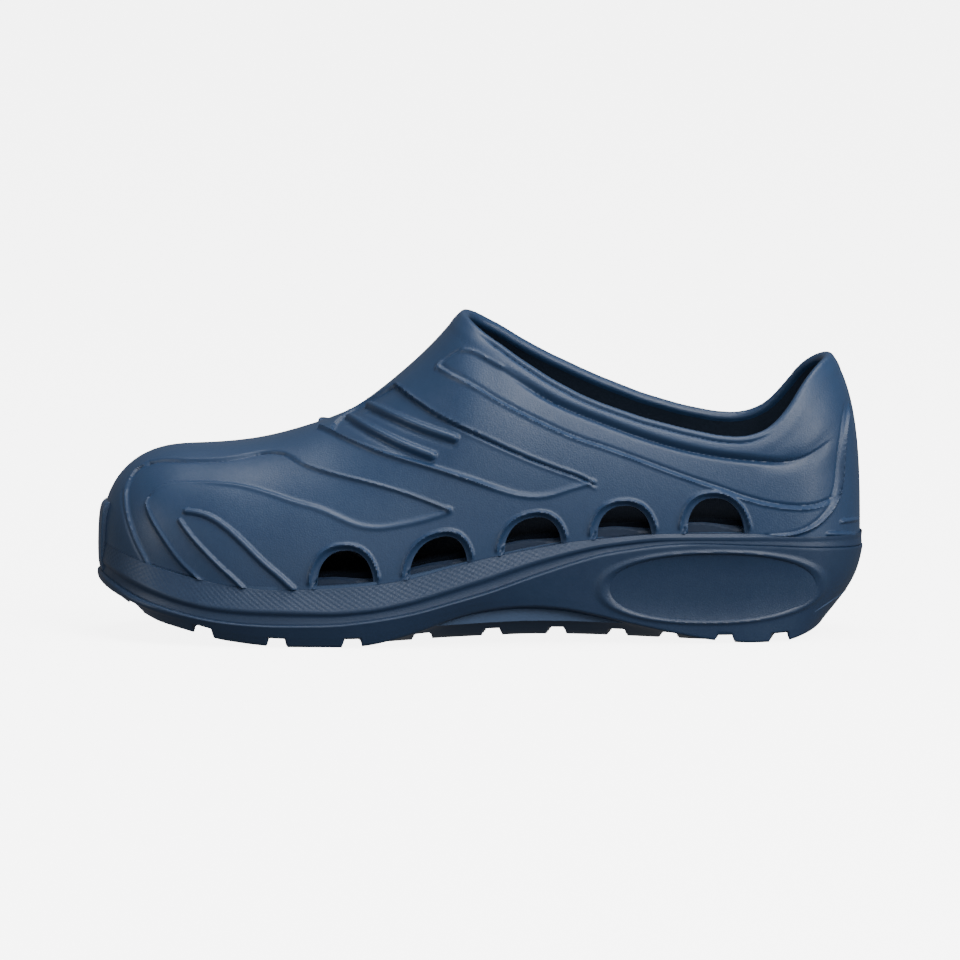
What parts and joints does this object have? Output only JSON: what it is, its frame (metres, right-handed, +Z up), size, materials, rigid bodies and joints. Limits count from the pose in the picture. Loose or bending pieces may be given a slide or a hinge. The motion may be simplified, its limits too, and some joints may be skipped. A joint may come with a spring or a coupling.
{
  "type": "rubber garden clog",
  "caption": "Closed-back moulded garden clog for the left foot, with drain vents along both sides, a textured foxing band, a lugged sole and a loose footbed.",
  "frame": {"origin": "middle of the clog's length and width, on the ground", "axes": "+X from the toe to the heel, +Y from the outer (lateral) side to the inner (medial) side, +Z up"},
  "size_m": [0.2807, 0.1082, 0.1187],
  "materials": {
    "upper_rubber": "satin navy foam rubber with a fine leather-like grain",
    "sole_rubber": "satin navy foam rubber, slightly duller than the upper",
    "insole_foam": "matt blue foam",
    "cover_cloth": "matt dark navy woven cloth"
  },
  "bodies": {
    "root": {"upper": "upper_rubber", "collar_bead": "upper_rubber", "toe_bumper": "upper_rubber", "heel_counter": "upper_rubber", "foxing_band": "sole_rubber", "midsole": "sole_rubber", "outsole": "sole_rubber", "heel_pad_lateral": "sole_rubber", "heel_pad_medial": "sole_rubber", "insole": "insole_foam", "insole_cover": "cover_cloth"}
  },
  "joints": []
}
